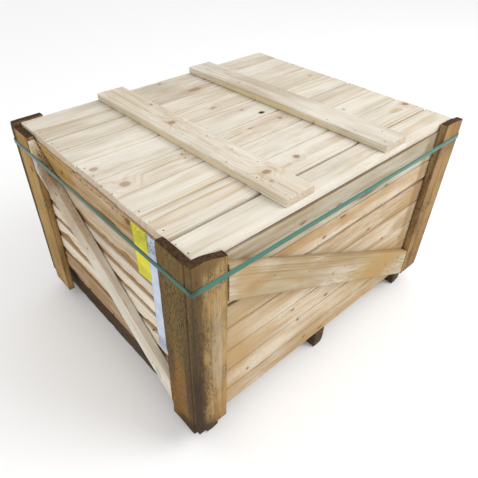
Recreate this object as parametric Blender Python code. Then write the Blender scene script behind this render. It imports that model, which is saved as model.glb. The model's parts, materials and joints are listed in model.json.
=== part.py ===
"""A nailed softwood shipping crate with board walls, diagonal braces and a lift-off lid.

Frame: metres, +Z up. The origin is on the ground under the crate's middle, +X runs along
the long walls and -Y is the front. Every wall is built as the front wall is, with its
boards along local X and its outer side towards local -Y, under an empty turned about Z.
"""

import math

import bmesh
import bpy
from mathutils import Vector

# Overall sizes.
SHEATH_LENGTH = 1.000  # between the outer faces of the left and right walls' boards
SHEATH_WIDTH = 0.830  # between the outer faces of the front and back walls' boards
WALL_HEIGHT = 0.560  # boards of the front and back walls, from the skids to the lid
SIDE_WALL_RISE = 0.070  # how far above the skids the left and right walls' boards start

# Timber sections.
BOARD = 0.022  # thickness of every sawn board
CLEAT_WIDTH = 0.098
FRONT_BRACE_WIDTH = 0.098
SIDE_BRACE_WIDTH = 0.092
BATTEN_WIDTH = 0.098
SKID_WIDTH = 0.045
SKID_HEIGHT = 0.075
DECK_BOARDS = 5
DECK_GAP = 0.0076  # between two deck boards
SILL_WIDTH = 0.045
SILL_HEIGHT = 0.070
ARRIS = 0.0015  # the small chamfer along every sawn edge

# How the boards of each wall share its height, from the lid down.
FRONT_SHARES = (98, 70, 79, 86, 80, 82, 69)
BACK_SHARES = (98, 90, 98, 92, 98, 88)
LEFT_SHARES = (80, 88, 57, 58, 70, 68, 77)
RIGHT_SHARES = (92, 84, 78, 90, 76, 78)
# How the lid's boards share its width, from the front to the back.
LID_SHARES = (86, 96, 93, 92, 97, 93, 74, 73, 86)

# Where things sit.
LONG_CLEAT_DROP = 0.002  # how far the front and back walls' cleats reach below the skids' tops
SIDE_CLEAT_DROP = 0.033  # how far the left and right walls' cleats reach below them
# How far each cleat stands above the lid's boards, or ends below their tops.
CLEAT_RISES = {
    "front_cleat_left": 0.012, "front_cleat_right": 0.003,
    "back_cleat_left": 0.004, "back_cleat_right": -0.012,
    "left_cleat_front": 0.012, "left_cleat_back": -0.006,
    "right_cleat_front": -0.012, "right_cleat_back": -0.012,
}
FRONT_BRACE_HEAD_DROP = 0.012  # from the top of the wall's boards to the brace's upper corner
SIDE_BRACE_HEAD_RISE = 0.010  # how far a side wall's brace reaches above its boards
# Where the battens' centre lines meet the lid's front and back edges: they aren't quite square.
BATTEN_ENDS = {"lid_batten_left": (-0.183, -0.192), "lid_batten_right": (0.199, 0.183)}
BATTEN_SETBACK = 0.003  # from the lid's front and back edges to the battens' ends
STRAP_WIDTH = 0.016
STRAP_THICKNESS = 0.0012
STRAP_BEND = 0.002  # inner radius where the strap goes round a corner, within its arris
STRAP_BEND_STEPS = 4
STRAP_DROP = 0.059  # from the lid's boards' tops to the middle of the strap

# Clearances.
CONTACT = 0.0003  # between two pieces that touch
SEAM = 0.0012  # between two boards side by side
LID_CLEARANCE = 0.0015  # between the lid's edges and the cleats round it

# Heights and reaches that follow from the sizes above.
WALL_BOTTOM = SKID_HEIGHT + CONTACT
WALL_TOP = WALL_BOTTOM + WALL_HEIGHT
SIDE_WALL_BOTTOM = SKID_HEIGHT + SIDE_WALL_RISE
DECK_BOTTOM = SKID_HEIGHT + CONTACT
DECK_TOP = DECK_BOTTOM + BOARD
LID_BOTTOM = WALL_TOP + CONTACT
LID_TOP = LID_BOTTOM + BOARD
STRAP_HEIGHT = LID_TOP - STRAP_DROP
INNER_HALF_LENGTH = SHEATH_LENGTH / 2 - BOARD
INNER_HALF_WIDTH = SHEATH_WIDTH / 2 - BOARD
OUTER_HALF_LENGTH = SHEATH_LENGTH / 2 + CONTACT + BOARD
OUTER_HALF_WIDTH = SHEATH_WIDTH / 2 + CONTACT + BOARD

FINISHES = {
    "wall_board": ((0.66, 0.53, 0.36), 0.80),
    "cleat": ((0.42, 0.30, 0.17), 0.85),
    "brace": ((0.62, 0.50, 0.34), 0.80),
    "lid_board": ((0.80, 0.74, 0.64), 0.75),
    "skid": ((0.16, 0.11, 0.07), 0.90),
    "deck_board": ((0.55, 0.43, 0.29), 0.85),
    "sill": ((0.50, 0.38, 0.24), 0.85),
    "strap": ((0.03, 0.22, 0.16), 0.40),
}


def clear_scene():
    for obj in list(bpy.data.objects):
        bpy.data.objects.remove(obj, do_unlink=True)


def finish_of(name, kind):
    """A material of the node's own, in the colour and roughness of its kind of piece."""
    colour, roughness = FINISHES[kind]
    material = bpy.data.materials.new(name)
    material.use_nodes = True
    shader = material.node_tree.nodes["Principled BSDF"]
    shader.inputs["Base Color"].default_value = (*colour, 1.0)
    shader.inputs["Roughness"].default_value = roughness
    shader.inputs["Metallic"].default_value = 0.0
    return material


def add_empty(name, location=(0, 0, 0), turn=0.0):
    empty = bpy.data.objects.new(name, None)
    empty.location = location
    empty.rotation_euler = (0, 0, turn)
    empty.empty_display_size = 0.1
    bpy.context.collection.objects.link(empty)
    return empty


def add_object(name, kind, shape, location, parent):
    """Turns a bmesh into a node under its parent, placed in the parent's own frame."""
    bmesh.ops.recalc_face_normals(shape, faces=shape.faces)
    mesh = bpy.data.meshes.new(name)
    shape.to_mesh(mesh)
    shape.free()
    mesh.materials.append(finish_of(name, kind))
    node = bpy.data.objects.new(name, mesh)
    node.location = location
    node.parent = parent
    bpy.context.collection.objects.link(node)
    return node


def add_board(name, kind, low, high, parent):
    """A sawn board that fills the box between two corners, with its arrises taken off."""
    low, high = Vector(low), Vector(high)
    shape = bmesh.new()
    bmesh.ops.create_cube(shape, size=1.0)
    bmesh.ops.scale(shape, vec=high - low, verts=shape.verts)
    bmesh.ops.bevel(shape, geom=shape.edges[:], offset=ARRIS, segments=1, affect="EDGES")
    return add_object(name, kind, shape, (low + high) / 2, parent)


def add_plate(name, kind, outline, depth, location, parent):
    """A piece with a flat outline, drawn out by its depth, with its arrises taken off."""
    shape = bmesh.new()
    outline_face = shape.faces.new([shape.verts.new(point) for point in outline])
    made = bmesh.ops.extrude_face_region(shape, geom=[outline_face])["geom"]
    moved = [item for item in made if isinstance(item, bmesh.types.BMVert)]
    bmesh.ops.translate(shape, vec=depth, verts=moved)
    bmesh.ops.bevel(shape, geom=shape.edges[:], offset=ARRIS, segments=1, affect="EDGES")
    return add_object(name, kind, shape, location, parent)


def spans(start, end, shares, gap):
    """Splits the stretch from start to end between the shares, with a gap between two."""
    sign = math.copysign(1, end - start)
    room = abs(end - start) - gap * (len(shares) - 1)
    places = []
    for share in shares:
        size = room * share / sum(shares)
        places.append((start, start + sign * size))
        start += sign * (size + gap)
    return places


def add_wall_boards(wall, half_length, face, bottom, shares, parent):
    """Horizontal boards from the top of the wall down, one against the next."""
    for number, (top, base) in enumerate(spans(WALL_TOP, bottom, shares, SEAM), 1):
        low = (-half_length, -face, base)
        high = (half_length, -face + BOARD, top)
        add_board(f"{wall}_board_{number}", "wall_board", low, high, parent)


def add_cleats(wall, ends, half_length, face, drop, parent):
    """The two upright corner cleats on the outside of a wall, reaching below the skids' tops."""
    near, far = -face - CONTACT - BOARD, -face - CONTACT
    for end, side in zip(ends, (-1, 1)):
        name = f"{wall}_cleat_{end}"
        edges = sorted((side * half_length, side * (half_length - CLEAT_WIDTH)))
        low = (edges[0], near, SKID_HEIGHT - drop)
        high = (edges[1], far, LID_TOP + CLEAT_RISES[name])
        add_board(name, "cleat", low, high, parent)


def brace_slope(span, drop, width):
    """The slope at which a board of this width just fills a frame of this span and drop."""
    diagonal = math.hypot(span, drop)
    return math.acos(width / diagonal) - math.atan2(span, drop)


def add_brace(wall, half_length, face, width, head, parent):
    """The diagonal brace between a wall's cleats, with ends cut upright to meet them."""
    half_span = half_length - CLEAT_WIDTH - CONTACT
    foot = WALL_BOTTOM
    upright = width / math.cos(brace_slope(2 * half_span, head - foot, width))
    middle = (head + foot) / 2
    outline = (
        (-half_span, 0, head - middle),
        (half_span, 0, foot + upright - middle),
        (half_span, 0, foot - middle),
        (-half_span, 0, head - upright - middle),
    )
    place = (0, -face - CONTACT, middle)
    add_plate(f"{wall}_brace", "brace", outline, (0, -BOARD, 0), place, parent)


def add_long_wall(wall, ends, turn, shares, parent):
    """The front or back wall: its boards run past the side walls, to the side cleats."""
    frame = add_empty(f"{wall}_wall", turn=turn)
    frame.parent = parent
    face = SHEATH_WIDTH / 2
    add_wall_boards(wall, SHEATH_LENGTH / 2, face, WALL_BOTTOM, shares, frame)
    add_cleats(wall, ends, OUTER_HALF_LENGTH, face, LONG_CLEAT_DROP, frame)
    head = WALL_TOP - FRONT_BRACE_HEAD_DROP
    add_brace(wall, OUTER_HALF_LENGTH, face, FRONT_BRACE_WIDTH, head, frame)


def add_side_wall(wall, ends, turn, shares, parent):
    """The left or right wall: its boards stop at the long walls' inner faces."""
    frame = add_empty(f"{wall}_wall", turn=turn)
    frame.parent = parent
    face = SHEATH_LENGTH / 2
    half_length = INNER_HALF_WIDTH - CONTACT
    add_wall_boards(wall, half_length, face, SIDE_WALL_BOTTOM, shares, frame)
    add_cleats(wall, ends, SHEATH_WIDTH / 2, face, SIDE_CLEAT_DROP, frame)
    head = WALL_TOP + SIDE_BRACE_HEAD_RISE
    add_brace(wall, SHEATH_WIDTH / 2, face, SIDE_BRACE_WIDTH, head, frame)


def add_skids(parent):
    """Three skids on edge, the outer two flush with the side walls' inner faces."""
    outer = INNER_HALF_LENGTH - CONTACT - SKID_WIDTH / 2
    for name, x in (("skid_left", -outer), ("skid_middle", 0.0), ("skid_right", outer)):
        low = (x - SKID_WIDTH / 2, -SHEATH_WIDTH / 2, 0.0)
        high = (x + SKID_WIDTH / 2, SHEATH_WIDTH / 2, SKID_HEIGHT)
        add_board(name, "skid", low, high, parent)


def add_deck(parent):
    """Floor boards across the skids, spread evenly between the front and back walls."""
    half_length = INNER_HALF_LENGTH - CONTACT
    start = -INNER_HALF_WIDTH + CONTACT
    rows = spans(start, -start, (1,) * DECK_BOARDS, DECK_GAP)
    for number, (front, back) in enumerate(rows, 1):
        low = (-half_length, front, DECK_BOTTOM)
        high = (half_length, back, DECK_TOP)
        add_board(f"deck_board_{number}", "deck_board", low, high, parent)


def add_sills(parent):
    """Square timbers on the deck's ends, which the side walls' lowest boards are nailed to."""
    outer = INNER_HALF_LENGTH - CONTACT
    half_width = INNER_HALF_WIDTH - CONTACT
    base = DECK_TOP + CONTACT
    for name, side in (("sill_left", -1), ("sill_right", 1)):
        edges = sorted((side * outer, side * (outer - SILL_WIDTH)))
        low = (edges[0], -half_width, base)
        high = (edges[1], half_width, base + SILL_HEIGHT)
        add_board(name, "sill", low, high, parent)


def add_lid(parent):
    """Lid boards along X, held side by side by two battens nailed across their tops."""
    lid = add_empty("lid_lift", location=(0, 0, LID_BOTTOM))
    lid.parent = parent
    half_length = SHEATH_LENGTH / 2 - LID_CLEARANCE
    half_width = SHEATH_WIDTH / 2 - LID_CLEARANCE
    rows = spans(-half_width, half_width, LID_SHARES, SEAM)
    for number, (front, back) in enumerate(rows, 1):
        low = (-half_length, front, 0.0)
        high = (half_length, back, BOARD)
        add_board(f"lid_board_{number}", "lid_board", low, high, lid)
    reach = half_width - BATTEN_SETBACK
    for name, (front, back) in BATTEN_ENDS.items():
        middle = (front + back) / 2
        swing = (back - front) / 2
        outline = (
            (-swing - BATTEN_WIDTH / 2, -reach, 0),
            (-swing + BATTEN_WIDTH / 2, -reach, 0),
            (swing + BATTEN_WIDTH / 2, reach, 0),
            (swing - BATTEN_WIDTH / 2, reach, 0),
        )
        place = (middle, 0, BOARD + CONTACT)
        add_plate(name, "lid_board", outline, (0, 0, BOARD), place, lid)


def rounded_outline(half_x, half_y, radius):
    """The points of a rectangle with round corners, anticlockwise from above."""
    points = []
    for quarter, (sx, sy) in enumerate(((1, 1), (-1, 1), (-1, -1), (1, -1))):
        centre = Vector((sx * (half_x - radius), sy * (half_y - radius)))
        for step in range(STRAP_BEND_STEPS + 1):
            angle = math.radians(90) * (quarter + step / STRAP_BEND_STEPS)
            points.append(centre + radius * Vector((math.cos(angle), math.sin(angle))))
    return points


def add_strap(parent):
    """The tensioned strap round all four walls, pulled straight from cleat to cleat."""
    half_x = OUTER_HALF_LENGTH + CONTACT
    half_y = OUTER_HALF_WIDTH + CONTACT
    inner = rounded_outline(half_x, half_y, STRAP_BEND)
    reach = STRAP_THICKNESS
    outer = rounded_outline(half_x + reach, half_y + reach, STRAP_BEND + reach)
    shape = bmesh.new()
    rings = []
    for points, z in ((inner, -1), (outer, -1), (outer, 1), (inner, 1)):
        rings.append([shape.verts.new((x, y, z * STRAP_WIDTH / 2)) for x, y in points])
    for ring, following in zip(rings, rings[1:] + rings[:1]):
        for at in range(len(ring)):
            after = (at + 1) % len(ring)
            shape.faces.new((ring[at], ring[after], following[after], following[at]))
    add_object("strap", "strap", shape, (0, 0, STRAP_HEIGHT), parent)


def build():
    clear_scene()
    crate = add_empty("crate")
    quarter = math.radians(90)
    add_skids(crate)
    add_deck(crate)
    add_sills(crate)
    add_long_wall("front", ("left", "right"), 0.0, FRONT_SHARES, crate)
    add_side_wall("right", ("front", "back"), quarter, RIGHT_SHARES, crate)
    add_long_wall("back", ("right", "left"), 2 * quarter, BACK_SHARES, crate)
    add_side_wall("left", ("back", "front"), 3 * quarter, LEFT_SHARES, crate)
    add_lid(crate)
    add_strap(crate)


build()
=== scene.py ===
# %% [markdown]
# # A nailed softwood shipping crate
# The crate is a box of sawn boards: walls nailed together through corner cleats, a diagonal
# brace on each wall, a lid held by two battens, three skids underneath and one tight strap.
# The solids that hold its sizes come first, as a fixed frame. Each plain board in that frame is
# then replaced by a board with worn arrises, uneven sawn faces and a grain of its own.

# %% Load the frame
import json
import math
import random

import bpy
from mathutils import Matrix, Vector


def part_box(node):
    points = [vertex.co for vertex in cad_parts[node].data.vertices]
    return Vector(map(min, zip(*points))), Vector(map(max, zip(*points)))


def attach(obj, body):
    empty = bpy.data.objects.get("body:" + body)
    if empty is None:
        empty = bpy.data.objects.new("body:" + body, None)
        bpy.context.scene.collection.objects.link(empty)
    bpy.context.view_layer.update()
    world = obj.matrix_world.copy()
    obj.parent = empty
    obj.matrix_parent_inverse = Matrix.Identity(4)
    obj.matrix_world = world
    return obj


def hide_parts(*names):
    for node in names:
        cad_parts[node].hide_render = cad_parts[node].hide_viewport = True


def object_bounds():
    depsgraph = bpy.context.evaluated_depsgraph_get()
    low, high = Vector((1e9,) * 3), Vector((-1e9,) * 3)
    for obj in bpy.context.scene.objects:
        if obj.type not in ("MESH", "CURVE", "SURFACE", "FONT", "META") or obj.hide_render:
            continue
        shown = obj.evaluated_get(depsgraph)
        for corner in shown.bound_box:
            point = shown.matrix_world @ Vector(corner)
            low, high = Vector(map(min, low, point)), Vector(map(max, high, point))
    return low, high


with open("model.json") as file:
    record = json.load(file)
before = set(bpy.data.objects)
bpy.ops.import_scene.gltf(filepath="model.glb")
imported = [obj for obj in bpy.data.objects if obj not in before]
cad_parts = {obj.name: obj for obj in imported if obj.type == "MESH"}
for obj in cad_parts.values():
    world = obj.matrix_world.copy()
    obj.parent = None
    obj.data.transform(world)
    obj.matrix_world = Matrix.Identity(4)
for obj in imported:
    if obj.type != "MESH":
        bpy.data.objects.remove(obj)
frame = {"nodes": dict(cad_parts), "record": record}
CAD_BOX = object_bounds()
WOODEN = sorted(name for name in frame["nodes"] if name != "strap")

# %% [markdown]
# ## Room, lights and camera
# The crate stands on a plain pale floor in a bright, even room. Such light comes from a white
# surround and a few large soft lamps: one high on the right for the lid and the front, and a
# weaker one on the left, so that the left wall is a little darker but never black.

# %% A pale floor and a white surround
scene = bpy.context.scene
scene.view_settings.view_transform = "Standard"
FLOOR_SIZE = 40.0
FLOOR_DROP = 0.0005  # keeps the floor just clear of the skids


def add_mesh(name, points, faces):
    mesh = bpy.data.meshes.new(name)
    mesh.from_pydata([tuple(point) for point in points], [], faces)
    mesh.update()
    made = bpy.data.objects.new(name, mesh)
    scene.collection.objects.link(made)
    return made


half = FLOOR_SIZE / 2
corners = [(-half, -half), (half, -half), (half, half), (-half, half)]
floor = add_mesh("floor", [(x, y, -FLOOR_DROP) for x, y in corners], [(0, 1, 2, 3)])
paint = bpy.data.materials.new("pale floor")
paint.use_nodes = True
shader = paint.node_tree.nodes["Principled BSDF"]
shader.inputs["Base Color"].default_value = (0.95, 0.95, 0.95, 1.0)
shader.inputs["Roughness"].default_value = 0.9
floor.data.materials.append(paint)
scene.world = bpy.data.worlds.new("white room")
scene.world.use_nodes = True
surround = scene.world.node_tree.nodes["Background"].inputs
surround["Color"].default_value = (1.0, 1.0, 1.0, 1.0)
surround["Strength"].default_value = 0.93
print("floor", FLOOR_SIZE, "m wide")


# %% Soft lamps
def add_lamp(name, place, target, size, power):
    """A square soft lamp at a place, turned to face the target."""
    light = bpy.data.lights.new(name, "AREA")
    light.shape = "SQUARE"
    light.size = size
    light.energy = power
    lamp = bpy.data.objects.new(name, light)
    lamp.location = place
    lamp.rotation_euler = (Vector(target) - Vector(place)).to_track_quat("-Z", "Y").to_euler()
    scene.collection.objects.link(lamp)
    return lamp


MIDDLE = (0.0, 0.0, 0.35)
add_lamp("key lamp", (1.8, -2.6, 3.2), MIDDLE, 2.2, 78)
add_lamp("fill lamp", (-3.2, -1.4, 1.9), MIDDLE, 2.6, 14)
print("two lamps")

# %% The camera
# It stands over the near left corner and looks down at a little under 40 degrees.
CAMERA_PLACE = Vector((-0.8971, -0.9580, 1.2578))
CAMERA_HEADING = math.radians(40.823)  # from +Y towards +X
CAMERA_DIP = math.radians(38.675)
CAMERA_ROLL = math.radians(-0.173)
CAMERA_LENS = 35.24

ahead = Vector(
    (
        math.sin(CAMERA_HEADING) * math.cos(CAMERA_DIP),
        math.cos(CAMERA_HEADING) * math.cos(CAMERA_DIP),
        -math.sin(CAMERA_DIP),
    )
)
camera = bpy.data.objects.new("camera", bpy.data.cameras.new("camera"))
camera.data.lens = CAMERA_LENS
camera.data.sensor_width = 36.0
camera.data.shift_x = 0.0384
camera.data.shift_y = -0.0039
turn = ahead.to_track_quat("-Z", "Y").to_matrix().to_4x4()
camera.matrix_world = Matrix.Translation(CAMERA_PLACE) @ turn @ Matrix.Rotation(CAMERA_ROLL, 4, "Z")
scene.collection.objects.link(camera)
scene.camera = camera
print("camera", [round(x, 3) for x in camera.matrix_world.translation])

# %% [markdown]
# ## Writing node trees
# Both geometry trees and material trees are long chains of small steps. A few short helpers
# keep each step to one line: each makes one node, feeds its inputs with links or numbers, and
# returns the output that the next step needs.

# %% Helpers for nodes
class Flow:
    """What comes out of a node. Sums written with it become nodes of the same tree."""

    def __init__(self, socket):
        self.socket = socket

    def __add__(self, other):
        return combined("ADD", self, other)

    def __sub__(self, other):
        return combined("SUBTRACT", self, other)

    def __rsub__(self, other):
        return combined("SUBTRACT", other, self)

    def __mul__(self, other):
        return combined("MULTIPLY", self, other)

    def __truediv__(self, other):
        return combined("DIVIDE", self, other)


def feed(socket, value):
    """Links or sets an input. A colour given as three numbers is opaque."""
    if isinstance(value, Flow):
        socket.id_data.links.new(value.socket, socket)
    else:
        socket.default_value = (*value, 1.0)[:4] if socket.type == "RGBA" else value


def add(tree, kind, *values, named=None, **settings):
    """Makes a node, applies its settings, and fills its open inputs in order or by name."""
    node = tree.nodes.new(kind)
    for setting, value in settings.items():
        setattr(node, setting, value)
    for socket, value in zip([s for s in node.inputs if s.enabled], values):
        feed(socket, value)
    for name, value in (named or {}).items():
        feed(node.inputs[name], value)
    return node


def made(tree, kind, *values, output=0, **rest):
    """One output of a new node."""
    return Flow(add(tree, kind, *values, **rest).outputs[output])


def open_output(node):
    return Flow(next(output for output in node.outputs if output.enabled))


def tree_of(*values):
    return next(value.socket.id_data for value in values if isinstance(value, Flow))


def maths(operation, *values):
    return made(tree_of(*values), "ShaderNodeMath", *values, operation=operation)


def vectors(operation, *values, **named):
    output = "Value" if operation == "LENGTH" else "Vector"
    tree = tree_of(*values)
    return made(tree, "ShaderNodeVectorMath", *values, operation=operation, named=named, output=output)


def combined(operation, first, second):
    """A sum of two numbers, of two vectors, or a vector scaled by a number."""
    kinds = [
        isinstance(value, tuple) or isinstance(value, Flow) and value.socket.type == "VECTOR"
        for value in (first, second)
    ]
    if kinds == [True, False]:
        return vectors("SCALE", first, Scale=second)
    return (vectors if any(kinds) else maths)(operation, first, second)


def fade(value, *given):
    """A smooth change, as the value goes from start to end, between two limits: usually 0 and 1."""
    start, end, low, high = (*given, 0.0, 1.0) if len(given) == 2 else given
    return made(
        tree_of(value), "ShaderNodeMapRange", value, start, end, low, high,
        interpolation_type="SMOOTHSTEP",
    )


def split(vector):
    return [Flow(part) for part in add(tree_of(vector), "ShaderNodeSeparateXYZ", vector).outputs]


def joined(x, y, z):
    return made(tree_of(x, y, z), "ShaderNodeCombineXYZ", x, y, z)


def noise(vector, scale, detail=2.0, roughness=0.5, distortion=0.0):
    """Smooth noise from 0 to 1 over a vector."""
    named = {"Vector": vector, "Scale": scale, "Detail": detail}
    named |= {"Roughness": roughness, "Distortion": distortion}
    return made(tree_of(vector), "ShaderNodeTexNoise", named=named, noise_dimensions="3D")


def mixed(factor, first, second, mode="MIX"):
    """Two colours mixed by a factor from 0 to 1."""
    return open_output(add(
        tree_of(factor, first, second), "ShaderNodeMix", factor, first, second,
        data_type="RGBA", blend_type=mode,
    ))


def new_group(name, kind, inputs, outputs):
    """An empty node group, its inputs by name and its open outputs. The sockets are listed by
    their type."""
    tree = bpy.data.node_groups.new(name, kind)
    for in_out, sockets in (("INPUT", inputs), ("OUTPUT", outputs)):
        for socket_kind, names in sockets.items():
            for socket_name in names.split(", "):
                tree.interface.new_socket(
                    socket_name, in_out=in_out, socket_type=f"NodeSocket{socket_kind}"
                )
    entry = tree.nodes.new("NodeGroupInput")
    return tree, lambda name: Flow(entry.outputs[name]), tree.nodes.new("NodeGroupOutput").inputs


print("helpers for nodes ready")

# %% [markdown]
# ## One sawn board
# Every board is a bar of wood with a length, a width and a thickness, but no two come out of a
# saw alike. The arrises are a little round and chipped here and there, the faces are uneven by
# part of a millimetre, and an edge may taper. A single Geometry Nodes tree makes all of them
# from their sizes and a seed, so that a change to the tree changes every board of the crate.
#
# The tree starts from a finely divided box and rounds it: each point is pulled back to the
# core of the box and pushed out again by the radius of the arris. All changes go inwards, so a
# board never leaves the space that its plain solid takes. Attributes keep what the finishes
# need to know: the place in the log, and how far a point is from an arris and from an end.

# %% The board tree
CROWDING = (1.25, 1.6, 1.4)  # how closely the rows of points gather at the ends and the arrises
LEAST_SINK = 0.0001  # every face lies at least this far inside its solid
BARK_MARGIN = 0.006  # how much narrower the bark's colour is than the wane


def gathered(share, power):
    """Moves rows of points, given as -1 to 1, towards both ends."""
    inside = 1.0 - maths("ABSOLUTE", share)
    moved = 1.0 - maths("POWER", inside, power)
    return moved * maths("SIGN", share)


def trimmed(share, reach, low, high):
    """The place of a share from -1 to 1 on a side cut back by low and high, with its half size
    and middle."""
    both = (low + high) * 0.5
    size = reach - both
    middle = (low - high) * 0.5
    return share * size, size, middle


def stored(geometry, name, value, data_type="FLOAT"):
    tree = tree_of(geometry)
    node = add(tree, "GeometryNodeStoreNamedAttribute", data_type=data_type, domain="POINT")
    for socket, given in (("Geometry", geometry), ("Name", name), ("Value", value)):
        feed(next(s for s in node.inputs if s.name == socket and s.enabled), given)
    return Flow(node.outputs[0])


def finish_tree(geometry, entry, leaving):
    """How every tree ends: as real geometry, with its material."""
    tree = tree_of(geometry)
    real = made(tree, "GeometryNodeRealizeInstances", geometry)
    named = {"Geometry": real, "Material": entry("Material")}
    feed(leaving["Geometry"], made(tree, "GeometryNodeSetMaterial", named=named))
    return tree


def board_tree():
    tree, entry, leaving = new_group("sawn board", "GeometryNodeTree", {
        "Float": "Length, Width, Thickness, Arris, Wear, Unevenness, Ragged Ends, Slant, "
                 "Low Trim Start, Low Trim End, High Trim Start, High Trim End, Start Trim, "
                 "End Trim, Wane, Wane Depth, Worn Corner, Pith Across, Pith Deep, Seed",
        "Int": "Rows Along, Rows Across, Rows Deep", "Color": "Tone", "Material": "Material",
    }, {"Geometry": "Geometry"})
    rows = [entry(f"Rows {way}") for way in ("Along", "Across", "Deep")]
    box = made(tree, "GeometryNodeMeshCube", (2.0, 2.0, 2.0), *rows, output="Mesh")
    share = split(made(tree, "GeometryNodeInputPosition"))
    along, across, deep = (gathered(s, p) for s, p in zip(share, CROWDING))

    # Trims change steadily from one end of the board to the other.
    travel = fade(along, -1.0, 1.0)
    low, high = (
        travel * (entry(f"{edge} Trim End") - entry(f"{edge} Trim Start")) + entry(f"{edge} Trim Start")
        for edge in ("Low", "High")
    )
    half = [entry(name) * 0.5 for name in ("Length", "Width", "Thickness")]
    x, half_x, middle_x = trimmed(along, half[0], entry("Start Trim"), entry("End Trim"))
    y, half_y, middle_y = trimmed(across, half[1], low, high)
    z, half_z, middle_z = trimmed(deep, half[2], 0.0, 0.0)
    flat = joined(x, y, z)
    reach = joined(half_x, half_y, half_z)

    # The radius of the arris grows where the board has been knocked.
    seed = entry("Seed")
    own = flat + joined(seed, seed, 0.0)
    knocked = fade(noise(own, 22.0, 3.0, 0.65), 0.48, 0.78)
    radius = knocked * entry("Wear") + entry("Arris")
    core = reach - joined(radius, radius, radius)
    inner = vectors("MINIMUM", vectors("MAXIMUM", flat, core * -1.0), core)
    outward = vectors("NORMALIZE", flat - inner)

    # Saw marks and dried faces: shallow, longer along the grain than across it.
    stretch = own * (9.0, 45.0, 45.0)
    sink = noise(stretch, 1.0, 2.0) * entry("Unevenness") + LEAST_SINK
    at_end = fade(half_x - maths("ABSOLUTE", x), 0.0008, 0.0002)
    splinters = noise(own * (1.0, 110.0, 140.0), 1.0, 3.0)
    ragged = at_end * splinters * entry("Ragged Ends")
    pushed = radius - (sink + ragged)
    shaped = inner + outward * pushed

    # Wane: along its low edge the outer face falls away where the round of the log shows.
    from_low = y + half_y
    wander = noise(own * (5.0, 0.0, 0.0), 1.0, 3.0, 0.6)
    wane = entry("Wane") * fade(wander, 0.25, 0.75, 0.35, 1.3)
    fallen = fade(from_low / maths("MAXIMUM", wane, 1e-5), 1.0, 0.0)
    drop = fallen * entry("Wane Depth")
    outer = fade(deep, -0.2, 1.0)
    shaped = shaped - joined(0.0, 0.0, drop * outer)
    middle = joined(middle_x, middle_y, middle_z)
    placed = split(shaped + middle)
    slanted = placed[1] * entry("Slant") + placed[0]
    # A corner worn round takes most from the low side of the far end.
    side_share = maths("POWER", fade(across, 1.0, -1.0), 2.5)
    taken = side_share * fade(along, 0.6, 1.0)
    slanted = slanted - taken * entry("Worn Corner")
    point = joined(slanted, placed[1], placed[2])

    # The attributes are worked out on the plain box, so they are stored before it changes shape.
    pith = joined(seed * -3.7, entry("Pith Across"), entry("Pith Deep"))
    from_arris = maths("MAXIMUM", half_y - maths("ABSOLUTE", y), half_z - maths("ABSOLUTE", z))
    from_end = half_x - maths("ABSOLUTE", x)
    geometry = stored(box, "grain", point - pith, "FLOAT_VECTOR")
    geometry = stored(geometry, "arris", from_arris)
    geometry = stored(geometry, "end", from_end)
    geometry = stored(geometry, "bark", wane - (from_low + BARK_MARGIN))
    geometry = stored(geometry, "tone", entry("Tone"), "FLOAT_COLOR")
    geometry = made(tree, "GeometryNodeSetPosition", named={"Geometry": geometry, "Position": point})
    return finish_tree(made(tree, "GeometryNodeSetShadeSmooth", geometry), entry, leaving)


BOARD_TREE = board_tree()
print("board tree with", len(BOARD_TREE.nodes), "nodes")


# %% Running a tree once
def run_tree(name, tree, values, source=None):
    """Runs a tree with the given inputs and returns the plain mesh that it makes."""
    carrier = bpy.data.objects.new(name, source or bpy.data.meshes.new(name))
    scene.collection.objects.link(carrier)
    modifier = carrier.modifiers.new("maker", "NODES")
    modifier.node_group = tree
    for socket in tree.interface.items_tree:
        if socket.in_out == "INPUT" and socket.name in values:
            modifier[socket.identifier] = values[socket.name]
    graph = bpy.context.evaluated_depsgraph_get()
    graph.update()
    mesh = bpy.data.meshes.new_from_object(carrier.evaluated_get(graph))
    bpy.data.objects.remove(carrier)
    mesh.name = name
    return mesh


print("the runner is ready")

# %% [markdown]
# ## Wood as a material
# Sawn wood shows the rings of the tree it came from. Every board carries its place in its log,
# so the rings can be worked out as they really lie: distance from the pith, wavering along the
# trunk, and bent round each knot. The same sum then gives long flames on a face, straight lines
# on an edge and arcs on an end. Effects that several finishes share are node groups.

# %% Group: annual rings
SAW_PITCH = 0.0052  # from one tooth mark to the next
FIBRE_STRETCH = (11.0, 700.0, 700.0)
STREAK_STRETCH = (1.3, 42.0, 42.0)


def group_in(group, **values):
    """Places a shader group, with its inputs given by name, underscores for spaces."""
    node = tree_of(*values.values()).nodes.new("ShaderNodeGroup")
    node.node_tree = group
    for name, value in values.items():
        feed(node.inputs[name.replace("_", " ").title()], value)
    return {output.name: Flow(output) for output in node.outputs}


def shader_group(name, outputs, **inputs):
    """An empty shader group. Its sockets are listed as vectors, colours and numbers."""
    kinds = {"vectors": "Vector", "colours": "Color", "numbers": "Float"}
    sockets = [{kinds[kind]: names for kind, names in side.items()} for side in (inputs, outputs)]
    return new_group(name, "ShaderNodeTree", *sockets)


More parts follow.
